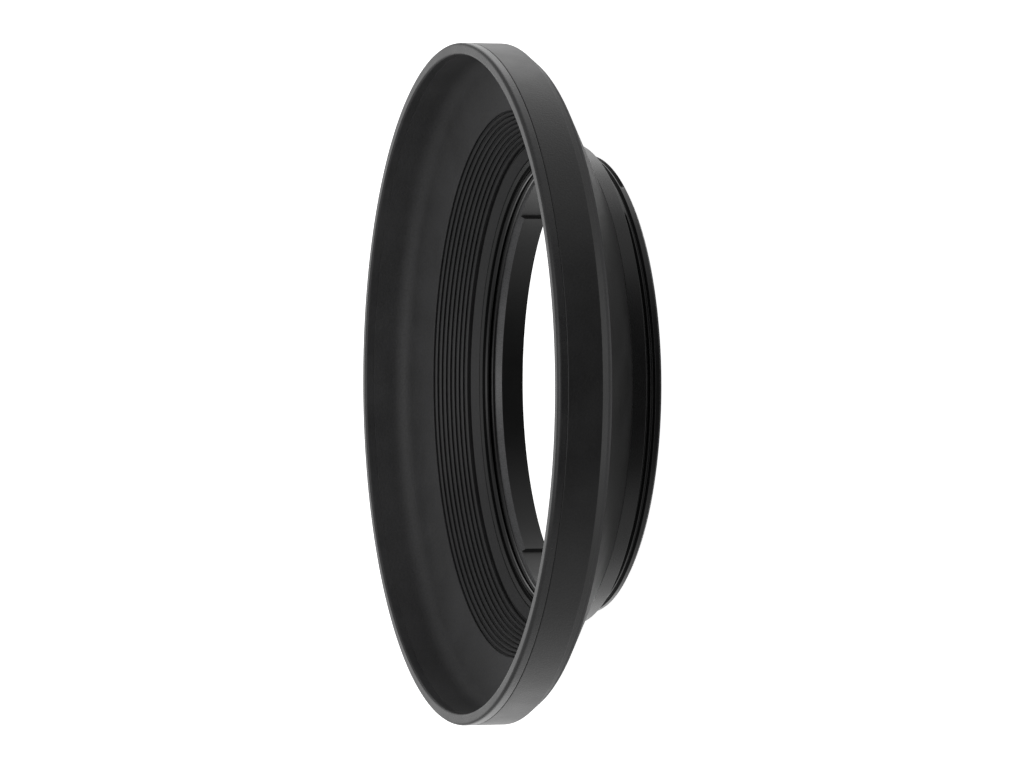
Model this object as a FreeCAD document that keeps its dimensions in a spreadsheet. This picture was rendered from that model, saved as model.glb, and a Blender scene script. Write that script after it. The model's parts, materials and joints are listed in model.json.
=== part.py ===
"""A screw-in wide-angle lens hood: a round satin-black shade on a threaded mount ring.

The hood's axis is +Z and points to the subject. Z = 0 is the rear end of the male
thread, where the hood enters the lens, and the front lip is at the top. Every piece
is a ring, turned from a half section in the XZ plane.
"""

import FreeCAD, Part

import os

import Sketcher

# Driving dimensions, in millimetres and degrees.
SIZES = {
    # the whole hood
    "overall_length": 20.6,
    "rim_radius": 49.5,
    "rim_wall": 1.7,
    # rear of the shade
    "rim_rear_height": 14.2,
    "shoulder_radius": 48.0,
    "shoulder_height": 12.35,
    "neck_radius": 35.2,
    "neck_top": 5.1,
    # inside of the shade
    "dish_rim_height": 14.15,
    "dish_corner_fillet": 2.2,
    "seat_wall_foot": 10.95,
    "seat_floor_radius": 35.13,
    "seat_floor_height": 5.6,
    # front bead and the tongue that holds it
    "bead_height": 1.4,
    "lip_outer_rounding": 0.45,
    "lip_inner_rounding": 0.3,
    "tongue_inner_radius": 48.35,
    "tongue_outer_radius": 48.95,
    "tongue_depth": 0.9,
    # ribbed baffle: the first groove's centre and the step from one groove to the next
    "groove_radius": 39.67,
    "groove_height": 11.89,
    "groove_step_in": 0.489,
    "groove_step_down": 0.534,
    "baffle_mouth_radius": 34.25,
    "baffle_mouth_height": 6.4,
    # light-trap ring
    "trap_seat_radius": 33.8,
    "trap_seat_height": 4.3,
    "trap_flange_height": 5.7,
    "trap_lip_radius": 33.5,
    "trap_lip_height": 6.1,
    # its ridges: a narrow crest, a front edge that stands proud of it, a notch behind each
    "trap_crest_radius": 32.55,
    "trap_crest_height": 5.6,
    "trap_crest_width": 0.25,
    "trap_edge_radius": 32.8,
    "trap_edge_rise": 0.23,
    "trap_root_radius": 33.2,
    "trap_root_drop": 0.45,
    "trap_notch_drop": 0.05,
    "trap_ridge_pitch": 0.91,
    # threaded mount ring
    "bore_radius": 32.2,
    "bore_land_height": 3.35,
    "bore_chamfer_radius": 32.8,
    "relief_radius": 32.55,
    "relief_height": 3.9,
    "relief_angle": 79.0,
    "crest_radius": 33.45,
    "lead_radius": 32.75,
    "lead_height": 0.45,
    "thread_length": 3.0,
    "thread_root_radius": 33.0,
    "thread_pitch": 0.75,
    "thread_opening": 0.62,
    "thread_root_width": 0.1,
    "thread_start_height": 0.78,
    "thread_start_angle": -33.0,
    "thread_turns": 1.97,
}
BAFFLE_GROOVES = 9
# A groove's section, in shares of the step from one groove to the next.
GROOVE_MOUTH = 0.27  # half the width at the cone's surface
LAST_GROOVE_MOUTH = 0.57  # the groove nearest the bore is wider on the bore's side
GROOVE_FLANK = 0.11  # how much the half width narrows down each flank
GROOVE_DEPTH = 0.55  # square to the cone
LAST_GROOVE_DEPTH = 0.8
LAST_GROOVE_FLANK = 0.5  # its outer flank, which slopes further in
TRAP_RIDGES = 2
BORE_RELIEFS = 2


class Size:
    """A length held both as a number and as the sheet expression that drives it."""

    def __init__(self, value, text):
        self.value = value
        self.text = text

    def __add__(self, other):
        return Size(self.value + other.value, f"{self.text} + {other.text}")

    def __sub__(self, other):
        return Size(self.value - other.value, f"{self.text} - ({other.text})")

    def __mul__(self, factor):
        return Size(self.value * factor, f"({self.text}) * {factor}")


def size(alias):
    """The named dimension of the spreadsheet."""
    return Size(SIZES[alias], "Sizes." + alias)


ZERO = Size(0.0, "0")


def make_sheet(doc):
    """Puts the driving dimensions in the document's spreadsheet."""
    sheet = doc.addObject("Spreadsheet::Sheet", "Sizes")
    for row, (alias, value) in enumerate(SIZES.items(), start=1):
        sheet.set(f"A{row}", alias)
        sheet.set(f"B{row}", str(value))
        sheet.setAlias(f"B{row}", alias)
    doc.recompute()


def origin_item(body, role):
    """The body's own origin plane or axis of that role."""
    return next(item for item in body.Origin.OriginFeatures if item.Role == role)


def fix_corner(sketch, line, corner):
    """Ties the start of a line to its radius and height."""
    for kind, length in zip(("DistanceX", "DistanceY"), corner):
        if length is ZERO:
            sketch.addConstraint(Sketcher.Constraint("PointOnObject", line, 1, -1))
            continue
        number = sketch.addConstraint(
            Sketcher.Constraint(kind, -1, 1, line, 1, length.value)
        )
        sketch.setExpression(f"Constraints[{number}]", length.text)


def half_section(body, name, corners, turn=None):
    """A closed outline through (radius, height) corners, in the plane of the axis.

    turn names the sheet angle by which the plane is turned about the axis.
    """
    sketch = body.newObject("Sketcher::SketchObject", name)
    sketch.AttachmentSupport = (origin_item(body, "XZ_Plane"), [""])
    sketch.MapMode = "FlatFace"
    if turn:
        # The sketch's own vertical is the hood's axis.
        upright = FreeCAD.Vector(0, 1, 0)
        sketch.AttachmentOffset = FreeCAD.Placement(
            FreeCAD.Vector(), FreeCAD.Rotation(upright, turn.value)
        )
        sketch.setExpression("AttachmentOffset.Rotation.Angle", turn.text)
    points = [FreeCAD.Vector(r.value, z.value, 0) for r, z in corners]
    ends = points[1:] + points[:1]
    for start, end in zip(points, ends):
        sketch.addGeometry(Part.LineSegment(start, end))
    for line, corner in enumerate(corners):
        following = (line + 1) % len(corners)
        sketch.addConstraint(Sketcher.Constraint("Coincident", line, 2, following, 1))
        fix_corner(sketch, line, corner)
    return sketch


def turned_body(doc, name, corners):
    """A body turned about the axis from one closed half section."""
    body = doc.addObject("PartDesign::Body", name)
    body.Label = name
    section = half_section(body, name + "_section", corners)
    ring = body.newObject("PartDesign::Revolution", name + "_ring")
    ring.Profile = section
    ring.ReferenceAxis = (section, ["V_Axis"])
    ring.Angle = 360
    doc.recompute()
    return body


def rim_edge(shape, radius, height):
    """The name of the circular edge at that radius and height."""
    for number, edge in enumerate(shape.Edges, start=1):
        curve = edge.Curve
        if not isinstance(curve, Part.Circle):
            continue
        if abs(curve.Radius - radius.value) < 1e-4 and abs(curve.Center.z - height.value) < 1e-4:
            return f"Edge{number}"
    raise RuntimeError(f"no edge at radius {radius.value} and height {height.value}")


def round_over(doc, body, corner, rounding):
    """Fillets the circular edge at the given corner."""
    base = body.Tip
    fillet = body.newObject("PartDesign::Fillet", body.Name + "_rounding")
    fillet.Base = (base, [rim_edge(base.Shape, *corner)])
    fillet.setExpression("Radius", rounding.text)
    body.Tip = fillet
    doc.recompute()


def groove_place(number):
    """Centre of a baffle groove on the cone, counted from the outside."""
    radius = size("groove_radius") - size("groove_step_in") * number
    height = size("groove_height") - size("groove_step_down") * number
    return radius, height


def groove_corners(number):
    """A baffle groove's corners, from its outer edge round its floor to its inner edge."""
    radius, height = groove_place(number)
    inward, down = size("groove_step_in"), size("groove_step_down")
    last = number == BAFFLE_GROOVES - 1
    outer, inner = GROOVE_MOUTH, LAST_GROOVE_MOUTH if last else GROOVE_MOUTH
    outer_floor = outer - (LAST_GROOVE_FLANK if last else GROOVE_FLANK)
    inner_floor = inner - GROOVE_FLANK
    depth = LAST_GROOVE_DEPTH if last else GROOVE_DEPTH
    # Square to the cone, the section goes outward by the step's fall and down by its run.
    floor_radius = radius + down * depth
    floor_height = height - inward * depth
    return [
        (radius + inward * outer, height + down * outer),
        (floor_radius + inward * outer_floor, floor_height + down * outer_floor),
        (floor_radius - inward * inner_floor, floor_height - down * inner_floor),
        (radius - inward * inner, height - down * inner),
    ]


def make_shade(doc):
    """The rim, its rear shoulder and the dish: one turned shell that carries the rest."""
    rim_inner = size("rim_radius") - size("rim_wall")
    seam = size("overall_length") - size("bead_height")
    slot_floor = seam - size("tongue_depth")
    groove_edge, groove_floor = groove_corners(0)[:2]
    dish_corner = (rim_inner, size("dish_rim_height"))
    body = turned_body(
        doc,
        "shade_body",
        [
            (size("rim_radius"), seam),
            (size("rim_radius"), size("rim_rear_height")),
            (size("shoulder_radius"), size("shoulder_height")),
            (size("neck_radius"), size("neck_top")),
            (size("baffle_mouth_radius"), size("neck_top")),
            (size("baffle_mouth_radius"), size("seat_floor_height")),
            (size("seat_floor_radius"), size("seat_floor_height")),
            (groove_floor[0], size("seat_wall_foot")),
            groove_floor,
            groove_edge,
            dish_corner,
            (rim_inner, seam),
            (size("tongue_inner_radius"), seam),
            (size("tongue_inner_radius"), slot_floor),
            (size("tongue_outer_radius"), slot_floor),
            (size("tongue_outer_radius"), seam),
        ],
    )
    round_over(doc, body, dish_corner, size("dish_corner_fillet"))
    return body


def make_bead(doc):
    """The rounded front bead, held in the rim's end by its tongue."""
    rim_inner = size("rim_radius") - size("rim_wall")
    seam = size("overall_length") - size("bead_height")
    tongue_end = seam - size("tongue_depth")
    outer_lip = (size("rim_radius"), size("overall_length"))
    inner_lip = (rim_inner, size("overall_length"))
    body = turned_body(
        doc,
        "front_bead",
        [
            outer_lip,
            inner_lip,
            (rim_inner, seam),
            (size("tongue_inner_radius"), seam),
            (size("tongue_inner_radius"), tongue_end),
            (size("tongue_outer_radius"), tongue_end),
            (size("tongue_outer_radius"), seam),
            (size("rim_radius"), seam),
        ],
    )
    round_over(doc, body, outer_lip, size("lip_outer_rounding"))
    round_over(doc, body, inner_lip, size("lip_inner_rounding"))
    return body


def make_baffle(doc):
    """The conical insert, with concentric grooves that break up stray light.

    The outer flank of the first groove belongs to the shade, so the joint is hidden in it.
    """
    corners = groove_corners(0)[1:]
    seat_radius = corners[0][0]
    for number in range(1, BAFFLE_GROOVES):
        corners += groove_corners(number)
    corners += [
        (size("baffle_mouth_radius"), size("baffle_mouth_height")),
        (size("baffle_mouth_radius"), size("seat_floor_height")),
        (size("seat_floor_radius"), size("seat_floor_height")),
        (seat_radius, size("seat_wall_foot")),
    ]
    return turned_body(doc, "ribbed_baffle", corners)


def make_trap(doc):
    """The small flanged ring in the throat, with ridges on its bore."""
    corners = [
        (size("bore_chamfer_radius"), size("trap_seat_height")),
        (size("trap_seat_radius"), size("trap_seat_height")),
        (size("trap_seat_radius"), size("trap_flange_height")),
        (size("baffle_mouth_radius"), size("trap_flange_height")),
        (size("baffle_mouth_radius"), size("baffle_mouth_height")),
        (size("trap_lip_radius"), size("trap_lip_height")),
    ]
    for number in range(TRAP_RIDGES):
        crest = size("trap_crest_height") - size("trap_ridge_pitch") * number
        corners += [
            (size("trap_lip_radius"), crest - size("trap_notch_drop")),
            (size("trap_edge_radius"), crest + size("trap_edge_rise")),
            (size("trap_crest_radius"), crest),
            (size("trap_crest_radius"), crest - size("trap_crest_width")),
        ]
        if number < TRAP_RIDGES - 1:
            corners.append((size("trap_root_radius"), crest - size("trap_root_drop")))
    return turned_body(doc, "light_trap_ring", corners)


def relieve_bore(doc, body):
    """Opens the rear bore between its two lands."""
    section = half_section(
        body,
        "relief_section",
        [
            (size("bore_radius") - size("rim_wall"), ZERO),
            (size("relief_radius"), ZERO),
            (size("relief_radius"), size("relief_height")),
            (size("bore_radius") - size("rim_wall"), size("relief_height")),
        ],
    )
    relief = body.newObject("PartDesign::Groove", "relief")
    relief.Profile = section
    relief.ReferenceAxis = (section, ["V_Axis"])
    relief.Midplane = True
    relief.setExpression("Angle", size("relief_angle").text)
    doc.recompute()
    pair = body.newObject("PartDesign::PolarPattern", "relief_pair")
    pair.Originals = [relief]
    pair.Axis = (origin_item(body, "Z_Axis"), [""])
    pair.Angle = 360
    pair.Occurrences = BORE_RELIEFS
    body.Tip = pair
    doc.recompute()


def cut_thread(doc, body):
    """A right-hand groove with a blunt start, wound up to the neck."""
    half_mouth = size("thread_opening") * 0.5
    half_root = size("thread_root_width") * 0.5
    start = size("thread_start_height")
    # The mouth is drawn a little outside the crest, so that no skin is left on it.
    outside = size("crest_radius") + size("thread_root_width")
    section = half_section(
        body,
        "thread_section",
        [
            (size("thread_root_radius"), start - half_root),
            (size("crest_radius"), start - half_mouth),
            (outside, start - half_mouth),
            (outside, start + half_mouth),
            (size("crest_radius"), start + half_mouth),
            (size("thread_root_radius"), start + half_root),
        ],
        turn=size("thread_start_angle"),
    )
    before = body.Shape.Volume
    thread = body.newObject("PartDesign::SubtractiveHelix", "thread")
    thread.Profile = section
    thread.ReferenceAxis = (section, ["V_Axis"])
    thread.Mode = "pitch-turns-angle"
    thread.setExpression("Pitch", size("thread_pitch").text)
    thread.setExpression("Turns", size("thread_turns").text)
    thread.LeftHanded = False
    thread.Reversed = False
    body.Tip = thread
    doc.recompute()
    if body.Shape.Volume > before - 1:
        raise RuntimeError("the thread cut nothing")


def make_mount(doc):
    """The mount ring: male thread, seating collar, spigot for the shade, relieved bore."""
    body = turned_body(
        doc,
        "threaded_mount_ring",
        [
            (size("bore_radius"), ZERO),
            (size("lead_radius"), ZERO),
            (size("crest_radius"), size("lead_height")),
            (size("crest_radius"), size("thread_length")),
            (size("neck_radius"), size("thread_length")),
            (size("neck_radius"), size("neck_top")),
            (size("baffle_mouth_radius"), size("neck_top")),
            (size("baffle_mouth_radius"), size("trap_flange_height")),
            (size("trap_seat_radius"), size("trap_flange_height")),
            (size("trap_seat_radius"), size("trap_seat_height")),
            (size("bore_chamfer_radius"), size("trap_seat_height")),
            (size("bore_radius"), size("bore_land_height")),
        ],
    )
    relieve_bore(doc, body)
    cut_thread(doc, body)
    return body


def check(doc, bodies):
    """Stops if any object failed, or if a piece isn't one closed valid solid."""
    for item in doc.Objects:
        if {"Invalid", "Error"} & set(item.State):
            raise RuntimeError(f"{item.Label}: {item.State}")
    for body in bodies:
        shape = body.Shape
        if shape.isNull() or not shape.isValid() or len(shape.Solids) != 1:
            raise RuntimeError(f"{body.Label} isn't one valid solid")


def main():
    doc = FreeCAD.newDocument("LensHood")
    make_sheet(doc)
    bodies = [
        make_shade(doc),
        make_bead(doc),
        make_baffle(doc),
        make_trap(doc),
        make_mount(doc),
    ]
    doc.recompute()
    check(doc, bodies)
    os.makedirs("parts", exist_ok=True)
    for body in bodies:
        body.Shape.exportStep(f"parts/{body.Label}.step")
        box = body.Shape.BoundBox
        print(body.Label, round(body.Shape.Volume, 1), round(box.ZMin, 3), round(box.ZMax, 3))


main()
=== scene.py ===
"""A round wide-angle lens hood, standing front up on the end of its thread.

The hood's axis is +Z. Every piece is a ring, built from a half section of (radius,
height) corners in millimetres and turned about the axis. The camera lies on its side,
so that the hood's axis is level in the picture and its front points to the left.
"""

import math
from typing import NamedTuple

import bpy
import numpy as np
from mathutils import Matrix, Vector
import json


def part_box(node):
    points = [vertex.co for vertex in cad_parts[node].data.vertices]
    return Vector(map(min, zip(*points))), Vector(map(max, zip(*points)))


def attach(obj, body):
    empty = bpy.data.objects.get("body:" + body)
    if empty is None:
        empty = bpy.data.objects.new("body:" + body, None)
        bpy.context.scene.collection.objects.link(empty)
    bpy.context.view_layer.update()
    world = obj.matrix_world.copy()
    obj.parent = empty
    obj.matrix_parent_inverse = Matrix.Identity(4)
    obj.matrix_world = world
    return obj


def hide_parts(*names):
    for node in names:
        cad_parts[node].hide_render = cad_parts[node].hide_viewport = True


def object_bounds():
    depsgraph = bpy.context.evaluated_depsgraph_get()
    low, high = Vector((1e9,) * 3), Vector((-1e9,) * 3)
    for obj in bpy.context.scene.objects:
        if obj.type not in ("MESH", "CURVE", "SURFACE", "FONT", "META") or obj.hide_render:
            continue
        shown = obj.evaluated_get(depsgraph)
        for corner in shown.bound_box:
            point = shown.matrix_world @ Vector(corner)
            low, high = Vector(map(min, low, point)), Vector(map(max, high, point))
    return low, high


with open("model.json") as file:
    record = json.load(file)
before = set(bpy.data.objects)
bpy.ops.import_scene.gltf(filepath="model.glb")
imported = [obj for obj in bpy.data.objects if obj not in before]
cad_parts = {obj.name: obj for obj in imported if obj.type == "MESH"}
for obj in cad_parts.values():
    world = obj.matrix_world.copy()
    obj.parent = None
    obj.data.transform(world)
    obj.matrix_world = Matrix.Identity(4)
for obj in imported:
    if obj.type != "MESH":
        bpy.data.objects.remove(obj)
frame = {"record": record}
cad_low, cad_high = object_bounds()

MM = 0.001

# ---------------------------------------------------------------- sizes, in millimetres

FRONT = cad_high.z / MM
RIM = cad_high.x / MM
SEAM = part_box("shade_body")[1].z / MM
NECK_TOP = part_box("shade_body")[0].z / MM
RIM_WALL = 1.7
RIM_REAR = 14.2
SHOULDER = (48.0, 12.35)
NECK = 35.2
DISH_HEIGHT = 14.15  # where the dish's slope would meet the rim's inner wall
DISH_FILLET = 2.2
SEAT_FLOOR = (35.13, 5.6)
SEAT_FOOT = 10.95
TONGUE = (48.35, 48.95)
TONGUE_DEPTH = 0.9

GROOVES = 9
FIRST_GROOVE = (39.67, 11.89)
GROOVE_STEP = (0.489, 0.534)  # inward and down, from one groove to the next
# A groove's half width, the narrowing down each flank and the depth, in shares of the step.
GROOVE_MOUTH = 0.27
GROOVE_FLANK = 0.11
GROOVE_DEPTH = 0.55
# The groove nearest the bore is deeper, wider towards the bore, and slopes on its outer side.
LAST_GROOVE_MOUTH = 0.57
LAST_GROOVE_FLANK = 0.5
LAST_GROOVE_DEPTH = 0.8
BAFFLE_MOUTH = (34.25, 6.4)

TRAP_SEAT = (33.8, 4.3)
TRAP_FLANGE_HEIGHT = 5.7
TRAP_LIP = (33.5, 6.1)
TRAP_CREST = (32.55, 5.6)
TRAP_CREST_WIDTH = 0.25
TRAP_EDGE = (32.8, 0.23)  # radius, and rise above the crest
TRAP_ROOT = (33.2, 0.45)  # radius, and drop below the crest
TRAP_NOTCH_DROP = 0.05
TRAP_PITCH = 0.91
TRAP_RIDGES = 2

BORE = 32.2
BORE_CHAMFER = (32.8, 4.3)
BORE_LAND_HEIGHT = 3.35
BORE_CHAMFER_SLOPE = (BORE_CHAMFER[1] - BORE_LAND_HEIGHT) / (BORE_CHAMFER[0] - BORE)
RELIEF = 32.55
RELIEF_HALF_ANGLE = 39.5  # degrees, to each side of +X and of -X
RELIEF_STEP = 0.2  # degrees over which the bore steps from land to relief
CREST = 33.45
LEAD = (32.75, 0.45)  # the lead-in chamfer: radius at the rear end, and height at the crest
THREAD_ROOT = 33.0
THREAD_LENGTH = 3.0
THREAD_PITCH = 0.75
THREAD_MOUTH = 0.62  # width of the groove at the crest
THREAD_ROOT_WIDTH = 0.1
THREAD_START_HEIGHT = 0.78  # of the groove's middle at its start
THREAD_START_ANGLE = -33.0  # degrees
THREAD_TURNS = 1.97
THREAD_RUN_IN = 1.2  # degrees over which each end of the groove comes to its depth
THREAD_ROW = 0.035  # spacing of the mesh rows along the thread

# Radii that round the edges: the two of the lip, the two of the rim's bevelled shoulder,
# the throat's, the other edges that show, and those that count as sharp.
OUTER_LIP = 0.45
INNER_LIP = 0.3
SHOULDER_REAR = 0.25
SHOULDER_FRONT = 0.2
THROAT = 0.06
EDGE = 0.12
SHARP = 0.03

SEGMENTS = 540
ARC_STEPS = 4
ARC_ROOM = 0.45  # share of the shorter neighbouring side that a rounding may use up
HOLD_SHARE = 0.5  # distance from an arc to its holding point, in shares of the cut
STRAIGHT = 0.02  # radians of turn, halved, under which a corner is left as it is
SAME = 1e-6  # difference under which two radii are the same
EVEN_ANGLES = np.arange(SEGMENTS) * 360 / SEGMENTS  # in degrees

# ---------------------------------------------------------------- ring meshes


def rounded(corners):
    """The points of a closed outline whose corners (radius, height, rounding) become arcs."""
    points = []
    count = len(corners)
    for number, (r, z, rounding) in enumerate(corners):
        here = Vector((r, z))
        before = Vector(corners[number - 1][:2]) - here
        after = Vector(corners[(number + 1) % count][:2]) - here
        room = ARC_ROOM * min(before.length, after.length)
        before.normalize()
        after.normalize()
        half = before.angle(after) / 2
        if math.pi / 2 - half < STRAIGHT:
            points.append((r, z))
            continue
        cut = min(rounding / math.tan(half), room)
        radius = cut * math.tan(half)
        centre = here + (before + after).normalized() * (radius / math.sin(half))
        start = here + before * cut - centre
        end = here + after * cut - centre
        turn = math.pi - 2 * half
        # A holding point on each side keeps the flat beside the arc flat under smooth shading.
        hold = min(cut * HOLD_SHARE, room - cut) if room > cut else 0
        if hold > 0:
            points.append(tuple(here + before * (cut + hold)))
        steps = ARC_STEPS if rounding > SHARP else 1
        for step in range(steps + 1):
            share = step / steps
            arm = start * math.sin((1 - share) * turn) + end * math.sin(share * turn)
            points.append(tuple(centre + arm / math.sin(turn)))
        if hold > 0:
            points.append(tuple(here + after * (cut + hold)))
    return points


def ring(name, angles, sections):
    """A closed ring through the sections, an array [angle, point, (radius, height)] in mm.

    A section runs anticlockwise with the radius to the right and the height up, which
    makes the faces look outward.
    """
    turns, points = sections.shape[:2]
    angle = np.radians(angles)[:, None]
    radius, height = sections[..., 0], sections[..., 1]
    places = np.stack([radius * np.cos(angle), radius * np.sin(angle), height], axis=-1)
    i, j = np.meshgrid(np.arange(turns), np.arange(points), indexing="ij")
    next_i, next_j = (i + 1) % turns, (j + 1) % points
    quads = np.stack([i, next_i, next_i, i], axis=-1) * points
    quads = quads + np.stack([j, j, next_j, next_j], axis=-1)
    mesh = bpy.data.meshes.new(name)
    mesh.from_pydata((places * MM).reshape(-1, 3).tolist(), [], quads.reshape(-1, 4).tolist())
    mesh.shade_smooth()
    piece = bpy.data.objects.new(name, mesh)
    bpy.context.scene.collection.objects.link(piece)
    return piece


def turned(name, corners):
    """A ring with the same section all round."""
    outline = np.array(rounded(corners))
    return ring(name, EVEN_ANGLES, np.broadcast_to(outline, (SEGMENTS, *outline.shape)))


def groove_corners(number):
    """A baffle groove's corners, from its outer edge round its floor to its inner edge."""
    inward, down = GROOVE_STEP
    last = number == GROOVES - 1
    outer, inner = GROOVE_MOUTH, LAST_GROOVE_MOUTH if last else GROOVE_MOUTH
    outer_floor = outer - (LAST_GROOVE_FLANK if last else GROOVE_FLANK)
    inner_floor = inner - GROOVE_FLANK
    r, z = FIRST_GROOVE[0] - inward * number, FIRST_GROOVE[1] - down * number
    depth = LAST_GROOVE_DEPTH if last else GROOVE_DEPTH
    floor_r, floor_z = r + down * depth, z - inward * depth
    return [
        (r + inward * outer, z + down * outer, SHARP),
        (floor_r + inward * outer_floor, floor_z + down * outer_floor, SHARP),
        (floor_r - inward * inner_floor, floor_z - down * inner_floor, SHARP),
        (r - inward * inner, z - down * inner, SHARP),
    ]


# ---------------------------------------------------------------- the pieces


def make_shade():
    """The rim, its bevelled shoulder, the cone behind and the dished inside."""
    inner = RIM - RIM_WALL
    edge, floor = groove_corners(0)[:2]
    return turned(
        "shade_shell",
        [
            (BAFFLE_MOUTH[0], NECK_TOP, SHARP),
            (NECK, NECK_TOP, SHARP),
            (*SHOULDER, SHOULDER_REAR),
            (RIM, RIM_REAR, SHOULDER_FRONT),
            (RIM, SEAM, EDGE),
            (TONGUE[1], SEAM, SHARP),
            (TONGUE[1], SEAM - TONGUE_DEPTH, SHARP),
            (TONGUE[0], SEAM - TONGUE_DEPTH, SHARP),
            (TONGUE[0], SEAM, SHARP),
            (inner, SEAM, SHARP),
            (inner, DISH_HEIGHT, DISH_FILLET),
            (*edge[:2], EDGE),
            floor,
            (floor[0], SEAT_FOOT, SHARP),
            (*SEAT_FLOOR, SHARP),
            (BAFFLE_MOUTH[0], SEAT_FLOOR[1], SHARP),
        ],
    )


def make_bead():
    """The rounded lip, with the tongue that holds it in the rim."""
    inner = RIM - RIM_WALL
    return turned(
        "lip_bead",
        [
            (TONGUE[0], SEAM - TONGUE_DEPTH, SHARP),
            (TONGUE[1], SEAM - TONGUE_DEPTH, SHARP),
            (TONGUE[1], SEAM, SHARP),
            (RIM, SEAM, EDGE),
            (RIM, FRONT, OUTER_LIP),
            (inner, FRONT, INNER_LIP),
            (inner, SEAM, SHARP),
            (TONGUE[0], SEAM, SHARP),
        ],
    )


def make_baffle():
    """The conical ring with its grooves."""
    corners = groove_corners(0)[1:]
    seat_radius = corners[0][0]
    for number in range(1, GROOVES):
        corners += groove_corners(number)
    corners += [
        (*BAFFLE_MOUTH, EDGE),
        (BAFFLE_MOUTH[0], SEAT_FLOOR[1], SHARP),
        (*SEAT_FLOOR, SHARP),
        (seat_radius, SEAT_FOOT, SHARP),
    ]
    return turned("baffle_ring", corners)


def make_trap():
    """The ridged ring in the throat."""
    corners = [
        (BORE_CHAMFER[0], TRAP_SEAT[1], SHARP),
        (*TRAP_SEAT, SHARP),
        (TRAP_SEAT[0], TRAP_FLANGE_HEIGHT, SHARP),
        (BAFFLE_MOUTH[0], TRAP_FLANGE_HEIGHT, SHARP),
        (*BAFFLE_MOUTH, EDGE),
        (*TRAP_LIP, THROAT),
    ]
    for number in range(TRAP_RIDGES):
        crest = TRAP_CREST[1] - TRAP_PITCH * number
        corners += [
            (TRAP_LIP[0], crest - TRAP_NOTCH_DROP, SHARP),
            (TRAP_EDGE[0], crest + TRAP_EDGE[1], SHARP),
            (TRAP_CREST[0], crest, SHARP),
            (TRAP_CREST[0], crest - TRAP_CREST_WIDTH, SHARP),
        ]
        if number < TRAP_RIDGES - 1:
            corners.append((TRAP_ROOT[0], crest - TRAP_ROOT[1], SHARP))
    return turned("trap_ring", corners)


def smooth_step(value):
    """0 below 0, 1 above 1, and a smooth rise between."""
    value = np.clip(value, 0, 1)
    return value * value * (3 - 2 * value)


def bore_radius(angle):
    """The rear bore's radius at an angle in degrees: two lands on +Y and -Y, relieved between."""
    from_relief = np.abs((angle + 90) % 180 - 90)
    relief = smooth_step((RELIEF_HALF_ANGLE - from_relief) / RELIEF_STEP + 0.5)
    return BORE + (RELIEF - BORE) * relief


def thread_radius(angle, height):
    """The thread's surface at an angle in degrees and a height in mm."""
    run = (angle - THREAD_START_ANGLE) % 360
    length = THREAD_TURNS * 360
    depth = np.zeros_like(height)
    for winding in range(math.ceil(THREAD_TURNS)):
        along = run + 360 * winding
        away = np.abs(height - THREAD_START_HEIGHT - THREAD_PITCH * along / 360)
        flank = (THREAD_MOUTH / 2 - away) / ((THREAD_MOUTH - THREAD_ROOT_WIDTH) / 2)
        ends = smooth_step(along / THREAD_RUN_IN) * smooth_step((length - along) / THREAD_RUN_IN)
        depth = np.maximum(depth, np.clip(flank, 0, 1) * ends)
    return CREST - (CREST - THREAD_ROOT) * depth


def mount_angles():
    """Even angles, and close pairs on both sides of the bore's four steps."""
    half_steps = np.array([-1.5, -0.5, 0.5, 1.5]) * RELIEF_STEP
    edges = np.array([-1, 1]) * RELIEF_HALF_ANGLE
    steps = np.array([0, 180])[:, None, None] + edges[:, None] + half_steps
    return np.union1d(EVEN_ANGLES, steps.ravel() % 360)


def make_mount():
    """The mount ring: collar, male thread with a blunt start, and the relieved bore.

    The thread's crest is one straight side of the section. Its rows of points are spread
    evenly over that side and sink into the groove where the thread is cut.
    """
    rows = np.arange(LEAD[1], THREAD_LENGTH, THREAD_ROW)
    angles = mount_angles()
    sections = []
    for angle in angles:
        bore = float(bore_radius(angle))
        land_top = BORE_CHAMFER[1] - (BORE_CHAMFER[0] - bore) * BORE_CHAMFER_SLOPE
        outside = rounded(
            [
                (bore, land_top, EDGE),
                (bore, 0, SHARP),
                (LEAD[0], 0, SHARP),
                (CREST, LEAD[1], SHARP),
                (CREST, THREAD_LENGTH, SHARP),
                (NECK, THREAD_LENGTH, EDGE),
                (NECK, NECK_TOP, SHARP),
                (BAFFLE_MOUTH[0], NECK_TOP, SHARP),
                (BAFFLE_MOUTH[0], TRAP_FLANGE_HEIGHT, SHARP),
                (TRAP_SEAT[0], TRAP_FLANGE_HEIGHT, SHARP),
                (*TRAP_SEAT, SHARP),
                (*BORE_CHAMFER, SHARP),
            ]
        )
        wall = [point for point in outside if abs(point[0] - CREST) < SAME]
        first = outside.index(wall[0])
        last = outside.index(wall[-1])
        low, high = wall[0][1], wall[-1][1]
        heights = low + (rows - rows[0]) * (high - low) / (rows[-1] - rows[0])
        thread = list(zip(thread_radius(angle, heights).tolist(), heights.tolist()))
        sections.append(outside[:first] + thread + outside[last + 1 :])
    return ring("mount_thread", angles, np.array(sections))


# ---------------------------------------------------------------- materials

# The noise textures' settings: sprayed grain (its scale is the finish's own), worn patches
# and the fine rings left by turning.
SPRAY = {"Detail": 3.0, "Roughness": 0.6}
PATCHES = {"Scale": 140.0, "Detail": 4.0, "Roughness": 0.55}
TURNING = {"Scale": 9000.0, "Detail": 1.0}
RAMP_ENDS = (0.35, 0.65)  # noise levels of a finish's darkest and palest colours
COOL = 1.03  # blue, in shares of red and green
GRAIN_SHARE = 0.5  # of the colour's changes; the patches make the rest
WANDER = 0.2  # range of the roughness over the patches

ALL_HEIGHTS = -99.0  # a foot below everything


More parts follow.
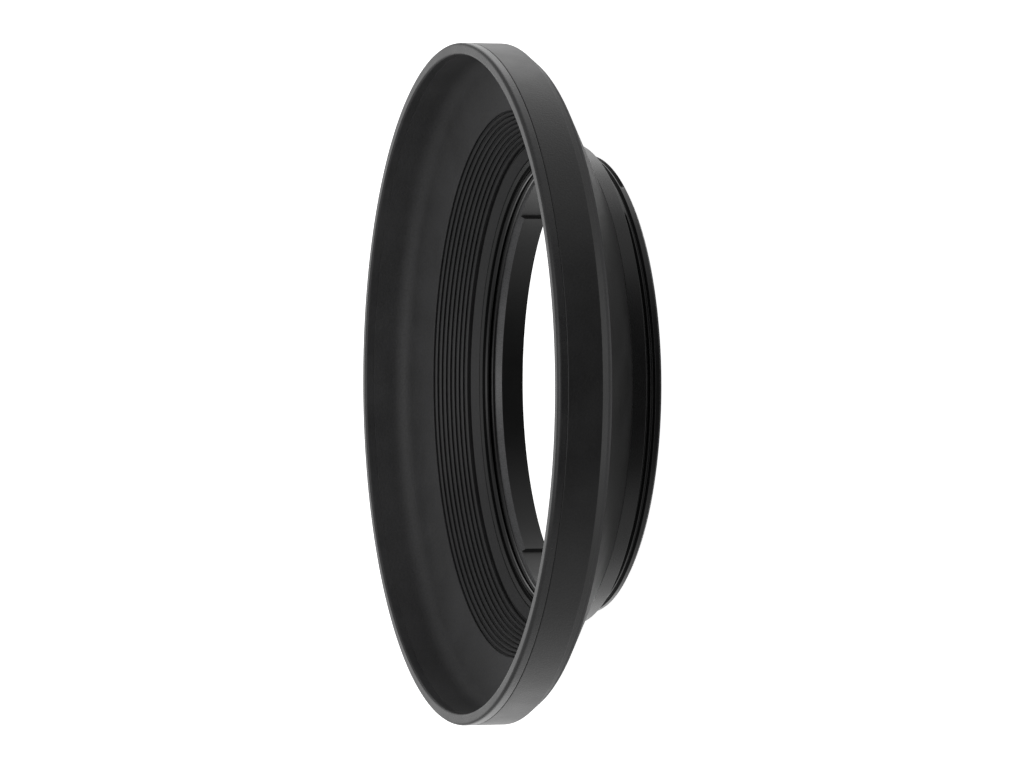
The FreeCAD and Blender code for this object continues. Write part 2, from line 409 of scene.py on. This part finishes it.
class Zone(NamedTuple):
    """A part of a ring with a different colour and gloss, in mm. Some zones are a coat of the
    ring's own, and some paint shade or a highlight.

    It lies inside the radius, where the height less slope times the distance from the
    axis is over the foot.
    """

    radius: float
    foot: float
    slope: float
    paler: float
    rougher: float


# The inside of the shade and the bead has a paler, more matte coat than the outside. The
# shade's zone is over a plane that lies between its dish and its cone.
SHADE_INSIDE = Zone(48.6, 6.9, 0.12, 2.6, 0.24)
BEAD_INSIDE = Zone(47.9, ALL_HEIGHTS, 0.0, 1.6, 0.14)
# The rear bore is painted darker, as painted shade in the recess, and is made more matte. The
# chamfer in front of it is painted much paler, as a painted highlight where it catches the light.
# The chamfer's zone begins just under its surface.
MOUNT_BORE_PAINTED_SHADE = Zone(32.79, ALL_HEIGHTS, 0.0, 0.3, 0.12)
CHAMFER_SKIN = 0.03
CHAMFER_FOOT = BORE_CHAMFER[1] - CHAMFER_SKIN - BORE_CHAMFER_SLOPE * BORE_CHAMFER[0]
MOUNT_CHAMFER_PAINTED_HIGHLIGHT = Zone(32.9, CHAMFER_FOOT, BORE_CHAMFER_SLOPE, 14.0, -0.14)

# Each slot's finish: its name, darkest and palest grey, roughness, scale of grain and bump.
FINISHES = {
    "satin_black_shade": ("satin_shade", 0.010, 0.018, 0.37, 3500.0, 0.00003),
    "satin_black_bead": ("satin_bead", 0.018, 0.030, 0.27, 3500.0, 0.00002),
    "matte_black_baffle": ("matte_baffle", 0.016, 0.027, 0.5, 3500.0, 0.00003),
    "gloss_black_trap": ("gloss_trap", 0.003, 0.006, 0.22, 5000.0, 0.00001),
    "gloss_black_mount": ("gloss_mount", 0.004, 0.008, 0.26, 5000.0, 0.00001),
}
TURNED_MARKS = {"gloss_black_trap": 0.5, "gloss_black_mount": 0.5}
ZONES = {
    "satin_black_shade": [SHADE_INSIDE],
    "satin_black_bead": [BEAD_INSIDE],
    # the bore's zone is painted shade, and the chamfer's zone a painted highlight
    "gloss_black_mount": [MOUNT_BORE_PAINTED_SHADE, MOUNT_CHAMFER_PAINTED_HIGHLIGHT],
}


def nodes_of(name):
    """A new material, its node tree and its principled shader."""
    material = bpy.data.materials.new(name)
    material.use_nodes = True
    tree = material.node_tree
    return material, tree, tree.nodes["Principled BSDF"]


def add(tree, kind, **settings):
    """A new node, with its inputs of those names, or else its properties, set."""
    node = tree.nodes.new(kind)
    for key, value in settings.items():
        if key in node.inputs:
            node.inputs[key].default_value = value
        else:
            setattr(node, key, value)
    return node


def radius_and_height(tree, place):
    """Sockets with a point's distance from the hood's axis and its height, in metres."""
    split = add(tree, "ShaderNodeSeparateXYZ")
    flat = add(tree, "ShaderNodeCombineXYZ")
    radius = add(tree, "ShaderNodeVectorMath", operation="LENGTH")
    tree.links.new(place.outputs["Object"], split.inputs[0])
    tree.links.new(split.outputs["X"], flat.inputs["X"])
    tree.links.new(split.outputs["Y"], flat.inputs["Y"])
    tree.links.new(flat.outputs[0], radius.inputs[0])
    return radius.outputs["Value"], split.outputs["Z"]


def math_node(tree, operation, *values):
    """A Math node's output. Each value is a socket or a number."""
    node = add(tree, "ShaderNodeMath", operation=operation)
    for value, socket in zip(values, node.inputs):
        if isinstance(value, (int, float)):
            socket.default_value = value
        else:
            tree.links.new(value, socket)
    return node.outputs[0]


def black_finish(name, dark, pale, rough, grain, bump, turned_marks=0.0, zones=()):
    """A black coating: fine sprayed grain, slow patches of wear and, on turned metal, tool marks.

    The colour runs from dark to pale. Grain is the grain's scale and bump its depth in
    metres. In each zone the colour is multiplied by paler, and rougher is added to the
    roughness.
    """
    material, tree, shader = nodes_of(name)
    link = tree.links.new
    place = add(tree, "ShaderNodeTexCoord")
    radius, height = radius_and_height(tree, place)
    spray = add(tree, "ShaderNodeTexNoise", Scale=grain, **SPRAY)
    patches = add(tree, "ShaderNodeTexNoise", **PATCHES)
    for texture in (spray, patches):
        link(place.outputs["Object"], texture.inputs["Vector"])
    # colour: the grain's peaks are a little paler, and so are the rubbed patches
    rubbed = math_node(tree, "MULTIPLY", patches.outputs["Fac"], 1 - GRAIN_SHARE)
    blend = math_node(tree, "MULTIPLY_ADD", spray.outputs["Fac"], GRAIN_SHARE, rubbed)
    ramp = add(tree, "ShaderNodeValToRGB")
    for element, position, grey in zip(ramp.color_ramp.elements, RAMP_ENDS, (dark, pale)):
        element.position = position
        element.color = (grey, grey, grey * COOL, 1)
    link(blend, ramp.inputs["Fac"])
    # roughness wanders with the patches
    least = rough - WANDER / 2
    wander = math_node(tree, "MULTIPLY_ADD", patches.outputs["Fac"], WANDER, least)
    gain = 1.0
    for zone in zones:
        near = math_node(tree, "LESS_THAN", radius, zone.radius * MM)
        level = math_node(tree, "MULTIPLY_ADD", radius, -zone.slope, height)
        above = math_node(tree, "GREATER_THAN", level, zone.foot * MM)
        inside = math_node(tree, "MULTIPLY", near, above)
        gain = math_node(tree, "MULTIPLY_ADD", inside, zone.paler - 1, gain)
        wander = math_node(tree, "MULTIPLY_ADD", inside, zone.rougher, wander)
    tint = add(tree, "ShaderNodeVectorMath", operation="SCALE")
    link(ramp.outputs["Color"], tint.inputs[0])
    if zones:
        link(gain, tint.inputs["Scale"])
    link(tint.outputs[0], shader.inputs["Base Color"])
    link(wander, shader.inputs["Roughness"])
    # bump: the grain, and fine rings left by turning
    surface = spray.outputs["Fac"]
    if turned_marks:
        section = add(tree, "ShaderNodeCombineXYZ")
        link(radius, section.inputs["X"])
        link(height, section.inputs["Z"])
        marks = add(tree, "ShaderNodeTexNoise", **TURNING)
        link(section.outputs[0], marks.inputs["Vector"])
        surface = math_node(tree, "MULTIPLY_ADD", marks.outputs["Fac"], turned_marks, surface)
    relief = add(tree, "ShaderNodeBump", Strength=1.0, Distance=bump)
    link(surface, relief.inputs["Height"])
    link(relief.outputs["Normal"], shader.inputs["Normal"])
    return material


def make_materials():
    """The finish of each of the record's slots."""
    return {
        slot: black_finish(
            *finish, turned_marks=TURNED_MARKS.get(slot, 0.0), zones=ZONES.get(slot, ())
        )
        for slot, finish in FINISHES.items()
    }


def dress(pieces, materials):
    """Puts each piece in its node's place, on the hood's one body, with its slot's finish."""
    slots = {row["node"]: row["material_slot"] for row in frame["record"]["subparts"]}
    for node, piece in pieces.items():
        piece.data.materials.append(materials[slots[node]])
        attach(piece, "root")
        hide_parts(node)


# ---------------------------------------------------------------- studio and camera

SENSOR = 36.0  # width, in mm
LENS = 176.0  # focal length, in mm
# From the centre of the front opening to the camera, in mm.
TOWARDS_SIDE = 696.68
TOWARDS_FRONT = 207.96
ASIDE = 0.727
TILT = math.radians(17.286)  # how far the front is turned to the camera
TWIST = math.radians(0.193)  # how far the camera is turned about Y

FLOOR_HALF_SIDE = 3.0  # in metres
FLOOR_GAP = 0.00002  # in metres, so that the floor isn't in the plane of the hood's end
FLOOR_COLOUR = (0.95, 0.95, 0.95, 1)
FLOOR_ROUGHNESS = 0.9
FLOOR_GLOW = 0.95
WHITE = (1, 1, 1, 1)

TENT_SEEN = 1.1  # the plain level that the camera sees
# The white tent round the hood: its level, then the places where it is brighter or darker,
# each a direction from the hood, a half angle in degrees and what it adds. The hood's near
# side, -Y, faces the camera, +Z is its front and X runs across.
TENT_LEVEL = 0.4
TENT_PLACES = [
    ((0.0, -0.8, 0.6), 50, 0.65),  # large soft box by the camera, towards the front
    ((0.0, -0.35, 0.95), 18, 0.8),  # two small lamps in front of it, for the edges
    ((0.0, -0.7, 0.7), 12, 1.1),
    ((0.0, 0.2, 1.0), 30, 0.3),  # soft box straight in front
    ((0.0, 0.95, -0.3), 24, 0.8),  # the bright backdrop
    ((0.0, 0.95, 0.3), 20, 0.5),
    ((0.0, 0.0, -1.0), 30, 0.5),  # soft box behind the mount
    ((0.9, -0.2, -0.3), 35, 0.2),  # wide lights on both sides
    ((-0.9, -0.2, -0.3), 35, 0.2),
    ((0.8, 0.4, -0.4), 30, 0.75),
    ((-0.8, 0.4, -0.4), 30, 0.75),
    ((0.6, 0.8, -0.25), 25, 0.8),  # lights on both sides of the backdrop
    ((-0.6, 0.8, -0.25), 25, 0.8),
    ((0.0, -0.9, -0.45), 60, -0.34),  # black card under the camera
    ((0.0, 0.6, -0.8), 30, -0.35),  # black card behind the cone
]


def make_camera():
    """A long lens beside the hood and a little in front of it, lying on its side.

    The hood's front, +Z, is the picture's left, and +X is its top.
    """
    data = bpy.data.cameras.new("camera")
    data.lens = LENS
    data.sensor_width = SENSOR
    data.dof.use_dof = False
    camera = bpy.data.objects.new("camera", data)
    bpy.context.scene.collection.objects.link(camera)
    back = Vector((0, -math.cos(TILT), math.sin(TILT)))
    top = Vector((1, 0, 0))
    right = top.cross(back)
    turn = Matrix.Rotation(TWIST, 3, "Y") @ Matrix((right, top, back)).transposed()
    place = Vector((ASIDE, -TOWARDS_SIDE, FRONT + TOWARDS_FRONT)) * MM
    camera.matrix_world = Matrix.Translation(place) @ turn.to_4x4()
    bpy.context.scene.camera = camera


def make_floor():
    """A wide pale floor under the hood, which only the camera sees."""
    half = FLOOR_HALF_SIDE
    mesh = bpy.data.meshes.new("floor")
    corners = [(-half, -half, 0), (half, -half, 0), (half, half, 0), (-half, half, 0)]
    mesh.from_pydata(corners, [], [(0, 1, 2, 3)])
    floor = bpy.data.objects.new("floor", mesh)
    floor.location.z = -FLOOR_GAP
    bpy.context.scene.collection.objects.link(floor)
    material, _, shader = nodes_of("pale_floor")
    shader.inputs["Base Color"].default_value = FLOOR_COLOUR
    shader.inputs["Roughness"].default_value = FLOOR_ROUGHNESS
    shader.inputs["Emission Color"].default_value = WHITE
    shader.inputs["Emission Strength"].default_value = FLOOR_GLOW
    mesh.materials.append(material)
    # The tent goes on below the floor, and so it lights the underside of the hood too.
    floor.visible_diffuse = False
    floor.visible_glossy = False
    floor.visible_shadow = False


def make_light():
    """A soft white tent, brighter and darker in places, that the camera sees as plain white."""
    world = bpy.data.worlds.new("tent")
    bpy.context.scene.world = world
    world.use_nodes = True
    tree = world.node_tree
    link = tree.links.new
    sky = tree.nodes["Background"]
    sky.inputs["Color"].default_value = WHITE
    place = add(tree, "ShaderNodeTexCoord")
    level = TENT_LEVEL
    for direction, half_angle, strength in TENT_PLACES:
        towards = add(tree, "ShaderNodeVectorMath", operation="DOT_PRODUCT")
        towards.inputs[1].default_value = Vector(direction).normalized()
        link(place.outputs["Generated"], towards.inputs[0])
        glow = add(tree, "ShaderNodeMapRange", interpolation_type="SMOOTHSTEP")
        glow.inputs["From Min"].default_value = math.cos(math.radians(half_angle))
        glow.inputs["To Max"].default_value = strength
        link(towards.outputs["Value"], glow.inputs["Value"])
        level = math_node(tree, "ADD", glow.outputs["Result"], level)
    path = add(tree, "ShaderNodeLightPath")
    seen = add(tree, "ShaderNodeMix", data_type="FLOAT")
    link(path.outputs["Is Camera Ray"], seen.inputs[0])
    link(level, seen.inputs[2])
    seen.inputs[3].default_value = TENT_SEEN
    link(seen.outputs[0], sky.inputs["Strength"])
    bpy.context.scene.view_settings.view_transform = "Standard"


def main():
    make_camera()
    pieces = {
        "shade_body": make_shade(),
        "front_bead": make_bead(),
        "ribbed_baffle": make_baffle(),
        "light_trap_ring": make_trap(),
        "threaded_mount_ring": make_mount(),
    }
    dress(pieces, make_materials())
    make_floor()
    make_light()


def write_sizes():
    """Imports json and does nothing else."""
    import json


main()
write_sizes()
